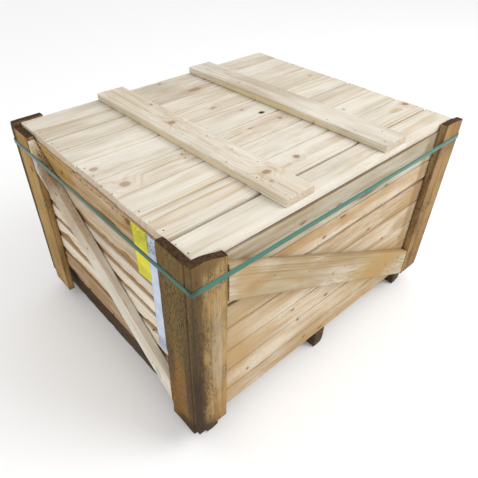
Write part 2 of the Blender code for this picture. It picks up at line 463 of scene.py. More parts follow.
def rings_group():
    tree, entry, leaving = shader_group(
        "annual rings", {"colours": "Color", "numbers": "Late, Height"}, vectors="Grain",
        colours="Pale, Late Tint", numbers="Bend, Ring Width, Waver, Contrast, Streaks, Saw Marks",
    )
    grain = entry("Grain")
    parts = split(grain)
    slow = noise(grain * (1.5, 7.0, 7.0), 1.0, 2.0)
    quick = noise(grain * (9.0, 60.0, 60.0), 1.0, 2.0)
    radius = vectors("LENGTH", joined(0.0, parts[1], parts[2]))
    radius = slow * entry("Waver") + radius
    radius = quick * 0.0012 + radius
    radius = radius + entry("Bend")
    turns = radius / entry("Ring Width")
    part = maths("FRACT", turns)
    late = fade(part, 0.42, 0.90) * fade(part, 1.0, 0.92)
    year = made(
        tree, "ShaderNodeTexWhiteNoise", named={"W": maths("FLOOR", turns)},
        noise_dimensions="1D", output="Value",
    )
    late = late * fade(year, -0.1, 1.0, 0.15, 1.0)
    clear = noise(grain * (2.5, 16.0, 16.0), 1.0, 2.0)
    late = late * fade(clear, 0.35, 0.62, 0.35, 1.15)
    fibre = noise(grain * FIBRE_STRETCH, 1.0, 3.0, 0.6)
    streak = noise(grain * STREAK_STRETCH, 1.0, 4.0, 0.6)
    dark = mixed(1.0, entry("Pale"), entry("Late Tint"), "MULTIPLY")
    colour = mixed(late * entry("Contrast"), entry("Pale"), dark)
    shade = fade(streak, 0.42, 0.66)
    colour = mixed(shade * entry("Streaks"), colour, dark)
    grey = fade(fibre, 0.2, 0.8, 0.84, 1.08)
    # Saw teeth leave fine lines across the grain, deeper in some stretches than in others.
    turn = slow * 4.0 + parts[0] / (SAW_PITCH / math.tau)
    marks = maths("SINE", turn) * 0.5 + 0.5
    marks = marks * (fade(clear, 0.6, 0.4) * entry("Saw Marks"))
    grey = grey * (marks * -0.12 + 1.0)
    colour = mixed(1.0, colour, joined(grey, grey, grey), "MULTIPLY")
    feed(leaving["Color"], colour)
    feed(leaving["Late"], late)
    height = fibre * 0.6 + late
    feed(leaving["Height"], height - marks)
    return tree


RINGS = rings_group()
print("annual rings:", len(RINGS.nodes), "nodes")


# %% Group: one knot
def knot_group():
    """A knot at a chosen place. Masks run through it, so that several knots make a chain."""
    tree, entry, leaving = shader_group(
        "knot", {"numbers": "Core, Halo, Bend"}, vectors="Place, Centre, Reach",
        numbers="Wobble, Depth, Core, Halo, Bend",
    )
    off = (entry("Place") - entry("Centre")) / entry("Reach")
    far = entry("Wobble") * 0.6 + vectors("LENGTH", off)
    core = fade(far, 1.45, 0.9) * entry("Depth")
    halo = fade(far, 3.4, 1.1) * entry("Depth")
    bend = fade(far, 4.5, 0.8) * 0.012
    feed(leaving["Core"], maths("MAXIMUM", core, entry("Core")))
    feed(leaving["Halo"], maths("MAXIMUM", halo, entry("Halo")))
    feed(leaving["Bend"], bend + entry("Bend"))
    return tree


KNOT = knot_group()


# %% Group: stray knots
# Boards out of sight of any one view still have knots, scattered in cells of about a hand.
KNOT_CELL = (0.24, 0.075, 1.0)


def stray_knots_group():
    tree, entry, leaving = shader_group(
        "stray knots", {"numbers": "Core, Halo, Bend"}, vectors="Grain", numbers="Wobble, Share",
    )
    parts = split(entry("Grain"))
    cells = joined(parts[0], parts[1], 0.0) / KNOT_CELL
    found = add(
        tree, "ShaderNodeTexVoronoi", named={"Vector": cells, "Scale": 1.0, "Randomness": 0.75},
        voronoi_dimensions="2D",
    )
    off = cells - Flow(found.outputs["Position"])
    off = off * (KNOT_CELL[0] * 0.8, KNOT_CELL[1], 0.0)
    chance = split(Flow(found.outputs["Color"]))
    size = fade(chance[0], 0.0, 1.0, 0.003, 0.010)
    far = vectors("LENGTH", off) / size
    far = entry("Wobble") * 0.6 + far
    there = maths("LESS_THAN", chance[1], entry("Share"))
    for name, start, end, strength in (
        ("Core", 1.45, 0.9, 0.85), ("Halo", 3.4, 1.1, 0.8), ("Bend", 4.5, 0.8, 0.012),
    ):
        mask = fade(far, start, end) * strength
        feed(leaving[name], mask * there)
    return tree


STRAY_KNOTS = stray_knots_group()
print("knots:", len(KNOT.nodes), "and", len(STRAY_KNOTS.nodes), "nodes")


# %% Group: weather and dirt
def weather_group():
    """White scuffs, bleaching, brown stains that run with the grain, and black mould."""
    tree, entry, leaving = shader_group(
        "weather", {"colours": "Color"}, vectors="Place, Grain", colours="Color, Stain Colour",
        numbers="Bleach, Scuff, Stain, Mould",
    )
    place, grain = entry("Place"), entry("Grain")
    colour = entry("Color")
    pale = noise(grain * (2.2, 14.0, 14.0), 1.0, 3.0, 0.6)
    factor = fade(pale, 0.42, 0.68) * entry("Bleach")
    colour = mixed(factor, colour, (0.80, 0.76, 0.68))
    run = noise(grain * (3.5, 26.0, 26.0), 1.0, 5.0, 0.65, 0.4)
    factor = fade(run, 0.50, 0.66) * entry("Stain")
    colour = mixed(factor, colour, entry("Stain Colour"))
    area = fade(noise(place * (3.2, 3.2, 7.0), 1.0, 2.0), 0.46, 0.58)
    brushed = noise(grain * (16.0, 150.0, 150.0), 1.0, 4.0, 0.7)
    factor = fade(brushed, 0.38, 0.62) * area
    factor = factor * entry("Scuff")
    colour = mixed(factor, colour, (0.78, 0.74, 0.67))
    patch = fade(noise(place, 9.0, 3.0), 0.40, 0.62)
    speck = noise(grain * (130.0, 330.0, 330.0), 1.0, 2.0, 0.7)
    factor = fade(speck, 0.53, 0.64) * patch
    factor = patch * 0.28 + factor
    factor = factor * entry("Mould")
    colour = mixed(factor, colour, (0.035, 0.028, 0.018))
    feed(leaving["Color"], colour)
    return tree


WEATHER = weather_group()


# %% Group: arrises and sawn ends
def edges_group():
    """Dirt or wear along the arrises, darker open grain on the ends, and brown wane."""
    tree, entry, leaving = shader_group(
        "edges", {"colours": "Color"}, vectors="Grain",
        colours="Color, Arris Colour, End Colour, End Dark, Bark Colour",
        numbers="Arris, End, Bark, Late, Arris Reach, Arris Strength",
    )
    grain, colour = entry("Grain"), entry("Color")
    rough = noise(grain * (30.0, 120.0, 120.0), 1.0, 4.0, 0.7)
    uneven = rough * -0.010 + (entry("Bark") + 0.005)
    bark = fade(uneven, -0.0006, 0.0008)
    brown = mixed(fade(rough, 0.3, 0.75), entry("Bark Colour"), (0.20, 0.10, 0.04))
    colour = mixed(bark, colour, brown)
    near = rough * entry("Arris Reach") + entry("Arris")
    worn = fade(near, entry("Arris Reach") * 1.3, 0.0)
    colour = mixed(worn * entry("Arris Strength"), colour, entry("Arris Colour"))
    at_end = fade(rough * 0.0012 + entry("End"), 0.0018, 0.0006)
    pores = fade(rough, 0.62, 0.40)
    dark = maths("MAXIMUM", entry("Late"), pores * 0.7)
    open_grain = mixed(dark, entry("End Colour"), entry("End Dark"))
    colour = mixed(at_end, colour, open_grain)
    feed(leaving["Color"], colour)
    return tree


EDGES = edges_group()
print("weather and edges:", len(WEATHER.nodes), "and", len(EDGES.nodes), "nodes")


# %% Group: soft patch
def patch_group():
    """A soft uneven patch at a chosen place, for a stain, a bleached stretch or painted shade."""
    tree, entry, leaving = shader_group(
        "patch", {"colours": "Color"}, vectors="Place, Centre, Reach", colours="Color, Patch Colour",
        numbers="Wobble, Grit, Speckle, Strength",
    )
    off = (entry("Place") - entry("Centre")) / entry("Reach")
    far = entry("Wobble") * 1.2 + vectors("LENGTH", off)
    mask = fade(far, 1.95, 1.0) * entry("Strength")
    # With speckle the patch breaks up into grains, by how far the grit is from its own mean.
    broken = 1.0 - entry("Speckle") * fade(entry("Grit"), 0.60, 0.50)
    mask = mask * broken
    feed(leaving["Color"], mixed(mask, entry("Color"), entry("Patch Colour")))
    return tree


PATCH = patch_group()


# %% One wood finish from a recipe
def attribute(tree, name, output="Fac"):
    return made(tree, "ShaderNodeAttribute", attribute_name=name, output=output)


def new_material(name):
    """A material, its tree, its shader's inputs and the place on the crate."""
    material = bpy.data.materials.new(name)
    material.use_nodes = True
    tree = material.node_tree
    place = made(tree, "ShaderNodeTexCoord", output="Object")
    return material, tree, tree.nodes["Principled BSDF"].inputs, place


def bump(height, strength, distance):
    named = {"Strength": strength, "Distance": distance, "Height": height}
    return made(tree_of(height), "ShaderNodeBump", named=named)


def with_stains_and_painted_shade(colour, patches, **shared):
    """A colour with soft patches over it, one after the other: stains, and in places painted shade."""
    for centre, reach, strength, patch_colour, speckle in patches:
        colour = group_in(
            PATCH, color=colour, centre=centre, reach=reach, strength=strength,
            patch_colour=patch_colour, speckle=speckle, **shared,
        )["Color"]
    return colour


def wood_finish(name, recipe):
    """A wood material. The recipe's values go to the shared groups, and its knots and patches
    are placed one after the other."""
    material, tree, shader, place = new_material(name)
    grain = attribute(tree, "grain", "Vector")
    wobble = noise(grain * (55.0, 95.0, 95.0), 1.0, 3.0, 0.6)
    drift = noise(grain * (9.0, 34.0, 34.0), 1.0, 4.0, 0.65)
    grit = noise(grain * (70.0, 280.0, 280.0), 1.0, 3.0, 0.7)

    masks = group_in(STRAY_KNOTS, grain=grain, wobble=wobble, share=recipe["stray"])
    for centre, reach, depth in recipe["knots"]:
        masks = group_in(
            KNOT, place=place, centre=centre, reach=reach, wobble=wobble, depth=depth,
            core=masks["Core"], halo=masks["Halo"], bend=masks["Bend"],
        )
    rings = group_in(
        RINGS, grain=grain, bend=masks["Bend"], pale=attribute(tree, "tone", "Color"),
        late_tint=recipe["late_tint"], ring_width=recipe["ring_width"], waver=recipe["waver"],
        contrast=recipe["contrast"], streaks=recipe["streaks"], saw_marks=recipe["saw_marks"],
    )
    colour = rings["Color"]
    weather = group_in(
        WEATHER, color=colour, place=place, grain=grain, bleach=recipe["bleach"], scuff=recipe["scuff"],
        stain=recipe["stain"], stain_colour=recipe["stain_colour"], mould=recipe["mould"],
    )
    colour = weather["Color"]
    colour = with_stains_and_painted_shade(colour, recipe["patches"], place=place, wobble=drift, grit=grit)
    halo_colour = mixed(1.0, colour, (0.82, 0.62, 0.44), "MULTIPLY")
    colour = mixed(masks["Halo"] * 0.35, colour, halo_colour)
    core = masks["Core"]
    core_colour = mixed(drift, recipe["knot_dark"], recipe["knot_pale"])
    colour = mixed(core, colour, core_colour)
    rim = core * (1.0 - core)
    colour = mixed(rim * 0.9, colour, recipe["knot_dark"])
    edges = group_in(
        EDGES, color=colour, grain=grain, arris=attribute(tree, "arris"),
        end=attribute(tree, "end"), bark=attribute(tree, "bark"), late=rings["Late"],
        arris_colour=recipe["arris_colour"], arris_reach=recipe["arris_reach"],
        arris_strength=recipe["arris_strength"], end_colour=recipe["end_colour"],
        end_dark=recipe["end_dark"], bark_colour=recipe["bark_colour"],
    )
    feed(shader["Base Color"], edges["Color"])
    smooth, rough = recipe["roughness"]
    feed(shader["Roughness"], fade(rings["Height"], 0.2, 1.2, rough, smooth))
    feed(shader["Specular IOR Level"], 0.10)
    height = wobble * 0.5 + rings["Height"]
    feed(shader["Normal"], bump(height, recipe["bump"], 0.0006))
    return material


WOOD = {
    "late_tint": (0.76, 0.56, 0.36), "ring_width": 0.0045, "waver": 0.014, "contrast": 0.6,
    "streaks": 0.45, "saw_marks": 0.5, "stray": 0.35, "knots": (), "patches": (), "bleach": 0.3,
    "scuff": 0.4, "stain": 0.35, "stain_colour": (0.36, 0.22, 0.10), "mould": 0.0,
    "knot_dark": (0.10, 0.045, 0.02), "knot_pale": (0.30, 0.16, 0.075),
    "arris_colour": (0.34, 0.24, 0.14), "arris_reach": 0.004, "arris_strength": 0.5,
    "end_colour": (0.48, 0.34, 0.19), "end_dark": (0.16, 0.09, 0.04),
    "bark_colour": (0.40, 0.24, 0.09), "roughness": (0.62, 0.82), "bump": 0.6,
}
print("a wood finish takes", sorted(WOOD))

# %% [markdown]
# ## The finishes of the crate
# The lid is fresh pale pine. The walls are the same pine, older and browner, the braces were cut
# from greyer stock, and the corner cleats are old wood used again, stained brown and
# speckled with mould. The skids are the darkest, nearly black.

# %% Where knots, stains and painted shade lie
LID_LOW, LID_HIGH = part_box("lid_board_1")[0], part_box("lid_board_9")[1]
WALL_LOW, WALL_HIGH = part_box("front_board_7")[0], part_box("front_board_1")[1]
LEFT_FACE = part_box("left_board_1")[0].x
FRONT_FACE = WALL_LOW.y
SIDE_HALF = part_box("left_cleat_back")[1].y
KNOT_THROUGH, PATCH_THROUGH = 0.06, 0.1  # how far they reach through a board
ON_TOP = 0.009  # a stain on the lid's boards doesn't reach the tops of the battens


def on_lid(along, back):
    """A place on the lid, at shares of its length and width from the front left corner."""
    shares = Vector((along, back, 1.0))
    return tuple(low + share * (high - low) for share, low, high in zip(shares, LID_LOW, LID_HIGH))


def up_wall(share):
    return WALL_LOW.z + share * (WALL_HIGH.z - WALL_LOW.z)


def on_front(along, up):
    """A place on the front wall, at shares of its length and height from the lower left."""
    return WALL_LOW.x + along * (WALL_HIGH.x - WALL_LOW.x), FRONT_FACE, up_wall(up)


def on_left(along, up):
    """A place on the left wall, at shares of its length and height from the lower far end."""
    return LEFT_FACE, SIDE_HALF * (1 - 2 * along), up_wall(up)


LID = (on_lid, (0, 1), ON_TOP)
FRONT = (on_front, (0, 2), PATCH_THROUGH)
LEFT = (on_left, (1, 2), PATCH_THROUGH)


def reach_on(axes, through, long, high):
    reach = [through] * 3
    reach[axes[0]], reach[axes[1]] = long, high
    return tuple(reach)


def knots(surface, *rows):
    """(centre, reach, depth) for rows of two shares, size, depth and stretch along the grain."""
    spot, axes, _ = surface
    return [
        (spot(along, up), reach_on(axes, KNOT_THROUGH, size * (stretch or [1.3])[0], size), depth)
        for along, up, size, depth, *stretch in rows
    ]


def surface_patches(surface, *rows):
    """(centre, reach, strength, colour, speckle) for rows of two shares, the reach along and
    up, strength, colour and speckle."""
    spot, axes, through = surface
    return [
        (spot(along, up), reach_on(axes, through, long, high), strength, colour, (speckle or [0.0])[0])
        for along, up, long, high, strength, colour, *speckle in rows
    ]


LID_KNOTS = knots(
    LID,
    (0.03, 0.53, 0.010, 0.5), (0.053, 0.396, 0.012, 0.55), (0.24, 0.404, 0.003, 0.9),
    (0.245, 0.43, 0.004, 1.0), (0.553, 0.83, 0.011, 0.6, 2.6), (0.49, 0.975, 0.005, 0.8),
    (0.605, 0.411, 0.007, 0.6), (0.505, 0.641, 0.006, 0.6), (0.557, 0.553, 0.005, 0.6),
    (0.487, 0.42, 0.003, 0.8, 3.0), (0.80, 0.305, 0.005, 0.5), (0.95, 0.625, 0.005, 0.6),
    (0.312, 0.592, 0.012, 0.7), (0.322, 0.144, 0.011, 0.9), (0.30, 0.10, 0.005, 0.5),
)
SMOKE = (0.33, 0.32, 0.30)
BATTEN_SIDES = ((0.0, 0.0, LID_HIGH.z + 0.010), (0.50, 0.39, 0.008), 0.75, (0.68, 0.55, 0.28), 0.0)
LID_PATCHES = [BATTEN_SIDES] + surface_patches(
    LID,
    (0.57, 0.83, 0.10, 0.022, 0.45, (0.45, 0.28, 0.18)),
    (0.591, 0.489, 0.012, 0.009, 1.0, (0.02, 0.015, 0.02)),
    (0.51, 0.06, 0.05, 0.010, 0.4, SMOKE, 0.6),
    (0.48, 0.97, 0.06, 0.015, 0.5, SMOKE, 0.5),
    (0.66, 0.297, 0.05, 0.006, 0.6, (0.36, 0.18, 0.10)),
    (0.93, 0.05, 0.05, 0.02, 0.4, (0.50, 0.40, 0.27)),
    (0.53, 0.56, 0.07, 0.02, 0.35, (0.50, 0.36, 0.29)),
    (0.58, 0.43, 0.09, 0.02, 0.35, (0.50, 0.36, 0.29)),
)
FRONT_KNOTS = knots(
    FRONT,
    (0.33, 0.92, 0.006, 0.4, 2.0), (0.47, 0.90, 0.005, 0.4, 2.4),
    (0.50, 0.81, 0.005, 0.7, 2.5), (0.43, 0.75, 0.006, 0.6, 1.6),
    (0.65, 0.595, 0.004, 0.8, 2.0), (0.75, 0.44, 0.004, 1.0), (0.87, 0.34, 0.004, 1.0),
    (0.49, 0.298, 0.005, 1.0, 2.0), (0.336, 0.374, 0.004, 0.7, 1.8),
    (0.367, 0.26, 0.004, 0.9), (0.168, 0.169, 0.005, 0.9, 1.0),
    (0.41, 0.066, 0.005, 0.6, 1.8), (0.49, 0.034, 0.005, 0.6, 2.6),
    (0.69, 0.84, 0.005, 0.5, 2.0),
)
TAN_STAIN, WHITISH, INK = (0.43, 0.28, 0.12), (0.68, 0.61, 0.49), (0.045, 0.03, 0.018)
FRONT_PATCHES = surface_patches(
    FRONT,
    (0.11, 0.30, 0.07, 0.22, 0.75, TAN_STAIN),
    (0.20, 0.34, 0.10, 0.035, 0.6, TAN_STAIN),
    (0.33, 0.42, 0.16, 0.03, 0.7, WHITISH, 0.6),
    (0.24, 0.20, 0.17, 0.035, 0.8, WHITISH, 0.5),
    (0.42, 0.26, 0.16, 0.02, 0.6, WHITISH, 0.5),
    (0.75, 0.24, 0.26, 0.07, 0.45, (0.44, 0.29, 0.12)),
    (0.60, 0.05, 0.25, 0.02, 0.5, TAN_STAIN),
    (0.85, 0.47, 0.06, 0.03, 0.7, (0.36, 0.22, 0.10)),
    # a tall dark brown strip on the boards beside the right cleat: painted shade
    (0.89, 0.62, 0.02, 0.26, 0.7, (0.30, 0.18, 0.08)),
    (0.12, 0.78, 0.05, 0.05, 0.5, TAN_STAIN, 0.3),
    (0.50, 0.79, 0.40, 0.015, 0.5, TAN_STAIN),
    (0.597, 0.86, 0.05, 0.006, 0.8, (0.14, 0.09, 0.05)),
    (0.50, 1.0, 0.60, 0.006, 0.8, (0.10, 0.06, 0.03)),
)
FRONT_BRACE_KNOTS = knots(
    FRONT,
    (0.862, 0.207, 0.004, 1.0, 1.0), (0.784, 0.235, 0.003, 0.9, 1.6),
    (0.47, 0.50, 0.005, 0.4, 1.0),
)
FRONT_BRACE_PATCHES = surface_patches(
    FRONT,
    (0.72, 0.28, 0.20, 0.10, 0.7, (0.42, 0.26, 0.09)),
    (0.13, 0.83, 0.05, 0.08, 0.6, (0.40, 0.25, 0.11)),
    (0.22, 0.86, 0.06, 0.03, 0.35, WHITISH, 0.5),
    (0.17, 0.78, 0.07, 0.02, 0.7, (0.36, 0.20, 0.08), 0.4),
)
SIDE_BRACE_KNOTS = knots(
    LEFT,
    (0.652, 0.482, 0.006, 0.7, 1.0), (0.741, 0.413, 0.007, 1.0, 1.8),
    (0.44, 0.60, 0.006, 0.7, 0.8), (0.27, 0.80, 0.006, 0.8, 1.0),
)
SIDE_BRACE_PATCHES = surface_patches(
    LEFT,
    (0.16, 0.97, 0.03, 0.02, 0.8, (0.66, 0.50, 0.28)),
    (0.22, 0.88, 0.06, 0.09, 0.85, (0.25, 0.155, 0.07)),
    (0.20, 0.90, 0.08, 0.10, 0.95, INK, 0.95),
    (0.36, 0.76, 0.13, 0.11, 0.7, (0.27, 0.165, 0.06), 0.4),
    (0.62, 0.42, 0.14, 0.16, 0.35, (0.62, 0.60, 0.53)),
    (0.81, 0.14, 0.016, 0.03, 0.5, (0.13, 0.13, 0.11), 0.5),
    (0.84, 0.03, 0.04, 0.04, 0.4, (0.45, 0.29, 0.12)),
)
SIDE_KNOTS = knots(
    LEFT,
    (0.30, 0.93, 0.006, 0.8), (0.73, 0.72, 0.006, 0.8), (0.71, 0.975, 0.010, 1.0),
)
SIDE_PATCHES = surface_patches(
    LEFT,
    (0.50, 0.985, 0.45, 0.007, 0.8, INK, 0.9),
    (0.59, 0.885, 0.10, 0.006, 0.9, (0.09, 0.05, 0.02)),
    (0.40, 0.875, 0.25, 0.005, 0.8, (0.20, 0.11, 0.04)),
    (0.62, 0.05, 0.40, 0.05, 0.6, (0.30, 0.17, 0.05)),
)
print(len(LID_KNOTS), "knots on the lid and", len(FRONT_KNOTS), "on the front wall")

# %% Where the cleats are stained
NEAR_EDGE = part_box("front_cleat_left")[0]  # the foot of the near corner
NEAR_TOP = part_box("front_cleat_left")[1].z
CLEAT_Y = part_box("left_cleat_front")[1].y


def stain(spot, reach, strength, colour, speckle=0.0):
    return spot, reach, strength, colour, speckle


def on_front_cleat(x, z, *rest):
    """A stain on the near front cleat, at a distance from its outer edge."""
    return stain((NEAR_EDGE.x + x, NEAR_EDGE.y, z), *rest)


def on_left_cleat(y, z, *rest):
    """A stain on the near left cleat, at a distance from its inner edge."""
    return stain((NEAR_EDGE.x, CLEAT_Y - y, z), *rest)


FAR_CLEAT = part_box("left_cleat_back")[0]
RUST = (0.34, 0.17, 0.055)
CLEAT_PATCHES = (
    # the near corner's front cleat: black down its left edge, pale down its middle
    on_front_cleat(0.066, 0.36, (0.018, 0.1, 0.20), 0.65, (0.55, 0.45, 0.30), 0.3),
    on_front_cleat(0.075, 0.12, (0.03, 0.1, 0.10), 0.5, (0.40, 0.25, 0.10)),
    on_front_cleat(0.010, 0.34, (0.022, 0.05, 0.60), 0.8, (0.13, 0.07, 0.025)),
    on_front_cleat(0.006, 0.26, (0.030, 0.02, 0.50), 0.9, INK, 0.6),
    on_front_cleat(0.002, 0.26, (0.018, 0.02, 0.40), 0.9, INK),
    on_front_cleat(0.035, NEAR_TOP - 0.01, (0.09, 0.05, 0.03), 0.75, (0.13, 0.075, 0.03)),
    on_front_cleat(0.02, NEAR_EDGE.z, (0.045, 0.08, 0.045), 0.95, INK),
    # the near corner's left cleat: olive and speckled above, rusty below
    on_left_cleat(0.05, 0.20, (0.1, 0.05, 0.15), 0.4, RUST),
    on_left_cleat(0.085, 0.33, (0.1, 0.016, 0.30), 0.85, (0.08, 0.05, 0.025)),
    on_left_cleat(0.05, 0.50, (0.1, 0.08, 0.22), 0.6, (0.17, 0.125, 0.05)),
    on_left_cleat(0.05, 0.50, (0.1, 0.08, 0.17), 0.9, INK, 0.9),
    on_left_cleat(0.05, 0.25, (0.1, 0.09, 0.40), 0.6, INK, 0.95),
    on_left_cleat(0.015, 0.30, (0.1, 0.02, 0.09), 0.8, INK, 0.4),
    on_left_cleat(0.07, 0.05, (0.1, 0.06, 0.05), 0.9, INK),
    # the far left corner: an outer edge that is nearly black
    stain((FAR_CLEAT.x, FAR_CLEAT.y + 0.108, 0.40), (0.1, 0.016, 0.5), 0.9, INK),
    stain((FAR_CLEAT.x, FAR_CLEAT.y + 0.05, 0.30), (0.03, 0.05, 0.35), 0.4, (0.46, 0.29, 0.10)),
)
print(len(CLEAT_PATCHES), "stains on the cleats")

# %% The finishes
NEARLY_BLACK = (0.07, 0.045, 0.025)
FINISHES = {
    "lid_wood": wood_finish("fresh pine", WOOD | {
        "late_tint": (0.76, 0.61, 0.44), "contrast": 0.85, "streaks": 0.28, "saw_marks": 1.0,
        "ring_width": 0.006, "stray": 0.08, "bleach": 0.5, "scuff": 0.5, "stain": 0.15,
        "knots": LID_KNOTS, "patches": LID_PATCHES,
        "knot_dark": (0.22, 0.11, 0.07), "knot_pale": (0.44, 0.30, 0.23),
        "arris_colour": (0.44, 0.35, 0.26), "arris_strength": 0.3,
        "end_colour": (0.60, 0.52, 0.41), "end_dark": (0.46, 0.36, 0.25),
        "stain_colour": (0.48, 0.34, 0.22),
    }),
    "front_wood": wood_finish("wall pine", WOOD | {
        "knots": FRONT_KNOTS, "patches": FRONT_PATCHES, "stray": 0.0, "scuff": 0.3, "bleach": 0.25,
        "stain": 0.5, "contrast": 0.9, "streaks": 0.7,
    }),
    "wall_wood": wood_finish("old wall pine", WOOD | {
        "knots": SIDE_KNOTS, "patches": SIDE_PATCHES, "stain": 0.4, "mould": 0.04, "contrast": 0.8,
        "streaks": 0.6, "bleach": 0.15, "scuff": 0.25,
    }),
    "brace_wood": wood_finish("front brace pine", WOOD | {
        "knots": FRONT_BRACE_KNOTS, "patches": FRONT_BRACE_PATCHES, "stray": 0.0, "stain": 0.45,
        "ring_width": 0.006, "contrast": 0.8,
    }),
    "side_brace_wood": wood_finish("side brace pine", WOOD | {
        "knots": SIDE_BRACE_KNOTS, "patches": SIDE_BRACE_PATCHES, "stray": 0.0, "stain": 0.35,
        "mould": 0.06, "arris_colour": (0.30, 0.18, 0.07), "arris_strength": 0.8,
        "arris_reach": 0.007, "bark_colour": (0.64, 0.50, 0.30),
    }),
    "cleat_wood": wood_finish("reused cleat wood", WOOD | {
        "contrast": 0.9, "streaks": 0.8, "stray": 0.2, "bleach": 0.0, "scuff": 0.0, "stain": 0.75,
        "mould": 0.75, "patches": CLEAT_PATCHES, "stain_colour": (0.15, 0.08, 0.025),
        "arris_colour": (0.08, 0.045, 0.02), "arris_strength": 0.85, "arris_reach": 0.007,
        "end_colour": (0.085, 0.045, 0.022), "end_dark": (0.018, 0.010, 0.006), "bump": 1.0,
    }),
    "skid_wood": wood_finish("nearly black skid wood", WOOD | {
        "contrast": 0.6, "streaks": 0.6, "stray": 0.1, "bleach": 0.05, "scuff": 0.0, "stain": 0.5,
        "mould": 0.8, "stain_colour": NEARLY_BLACK, "arris_colour": NEARLY_BLACK,
        "arris_strength": 0.6, "end_colour": (0.14, 0.085, 0.045),
        "end_dark": (0.03, 0.02, 0.01), "bump": 1.0,
    }),
    "deck_wood": wood_finish("deck pine", WOOD | {"arris_colour": (0.30, 0.22, 0.14)}),
}
print("finishes:", ", ".join(FINISHES))

# %% [markdown]
# ## Cutting the timber
# A board's place and size come from its plain solid: its longest side is its length, its
# thinnest side faces out of the crate. The braces lie at a slope with upright ends, so their
# slope is worked out from the volume that they fill.

# %% A frame for each piece of timber
CRATE_MIDDLE = (CAD_BOX[0] + CAD_BOX[1]) / 2
AXES = (Vector((1, 0, 0)), Vector((0, 1, 0)), Vector((0, 0, 1)))
UP = AXES[2]


def volume_of(mesh):
    return abs(sum(
        mesh.vertices[a].co.dot(mesh.vertices[b].co.cross(mesh.vertices[c].co))
        for a, b, c in (polygon.vertices[:3] for polygon in mesh.polygons)
    )) / 6


def timber_frame(node):
    """(matrix, size) of a board: its length, width and thickness, with the outer face up."""
    low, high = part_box(node)
    sides = high - low
    order = sorted(range(3), key=lambda axis: sides[axis])
    thin, long = AXES[order[0]], AXES[order[2]]
    middle = (low + high) / 2
    if thin.z == 0 and (middle - CRATE_MIDDLE).dot(thin) < 0:
        thin = -thin
    if thin.z == 0 and long.z == 0:
        long = UP.cross(thin)
    side = thin.cross(long)
    length, width, thickness = (sides[order[2]], sides[order[1]], sides[order[0]])
    matrix = Matrix((long, side, thin)).transposed().to_4x4()
    return Matrix.Translation(middle) @ matrix, (length, width, thickness)


def slanted_frame(node, fall):
    """The same for a piece that lies askew between square ends, falling or rising along its
    length. The slant keeps its ends square to the rest of the crate."""
    matrix, (span, rise, thickness) = timber_frame(node)
    upright = volume_of(frame["nodes"][node].data) / (span * thickness)
    slope = fall * math.atan2(rise - upright, span)
    width = upright * math.cos(slope)
    tilted = matrix @ Matrix.Rotation(slope, 4, "Z")
    return tilted, (span / math.cos(slope), width, thickness), math.tan(slope)


for name in ("front_board_1", "left_cleat_front", "lid_batten_left"):
    print(name, [round(side, 4) for side in timber_frame(name)[1]])
print("front_brace", [round(side, 4) for side in slanted_frame("front_brace", -1)[1]])

# %% Tones of the timber
TONES = {
    "chalk": (0.68, 0.63, 0.53), "cream": (0.64, 0.58, 0.47), "dull": (0.57, 0.51, 0.41),
    "straw": (0.56, 0.45, 0.30), "honey": (0.47, 0.35, 0.20), "grey": (0.42, 0.34, 0.21),
    "tan": (0.43, 0.29, 0.125), "gold": (0.54, 0.35, 0.135), "brown": (0.37, 0.24, 0.11),
    "umber": (0.25, 0.15, 0.04), "soot": (0.08, 0.05, 0.028), "bone": (0.77, 0.71, 0.59),
    "ash": (0.49, 0.43, 0.31),
}
TONE_OF = {
    "front_board": ("ash", "straw", "honey", "straw", "straw", "straw", "honey"),
    "left_board": ("gold", "honey", "cream", "bone", "bone", "bone", "brown"),
    "right_board": ("straw", "honey", "straw", "cream", "honey", "tan"),
    "back_board": ("straw", "cream", "honey", "straw", "tan", "honey"),
    "lid_board": ("chalk", "chalk", "chalk", "cream", "chalk", "cream", "cream", "dull", "dull"),
    "lid_batten": ("cream", "dull"), "skid": ("soot",) * 3, "deck_board": ("honey", "straw") * 3,
    "sill": ("tan", "tan"), "front_brace": ("grey",), "left_brace": ("chalk",),
    "right_brace": ("straw",), "back_brace": ("grey",), "front_cleat": ("tan", "brown"),
    "left_cleat": ("tan", "umber"), "right_cleat": ("brown", "umber"), "back_cleat": ("brown", "tan"),
}
FINISH_OF = {
    "front_board": "front_wood", "lid_board": "lid_wood", "lid_batten": "lid_wood",
    "skid": "skid_wood", "deck_board": "deck_wood", "sill": "deck_wood", "front_brace": "brace_wood",
    "back_brace": "brace_wood", "left_brace": "side_brace_wood", "right_brace": "side_brace_wood",
    "front_cleat": "cleat_wood", "left_cleat": "cleat_wood", "right_cleat": "cleat_wood",
    "back_cleat": "cleat_wood",
}


def kind_of(name):
    """(kind, position among its kind) of a timber: front_board_3 is the third front_board."""
    kind = next(kind for kind in TONE_OF if name.startswith(kind))
    return kind, sorted(n for n in WOODEN if n.startswith(kind)).index(name)


# %% Wear, trims and wane of each kind
EDGE_TRIM = 0.0014  # the most that an ordinary edge strays inwards
WEAR = {"skid": 0.010, "front_cleat": 0.007, "left_cleat": 0.008, "right_cleat": 0.007,
        "back_cleat": 0.007, "lid_board": 0.0022, "lid_batten": 0.003}
WANE = {"left_board": (0.022, 0.042, 0.030, 0.034, 0.040, 0.030, 0.012), "left_brace": (0.020,),
        "right_board": (0.0, 0.026, 0.0, 0.030, 0.022, 0.0),
        "back_board": (0.0, 0.0, 0.028, 0.0, 0.024, 0.0),
        "front_board": (0.0, 0.014, 0.0, 0.0, 0.0, 0.0, 0.0)}
WORN_CORNER = {"front_cleat_left": 0.018, "front_cleat_right": 0.006, "left_cleat_front": 0.004}
OPEN_SEAM = {"lid_board_1": (0.009, 0.003), "lid_board_4": (0.001, 0.004), "lid_board_7": (0.003, 0.001)}
ROW_SPACING = 0.011


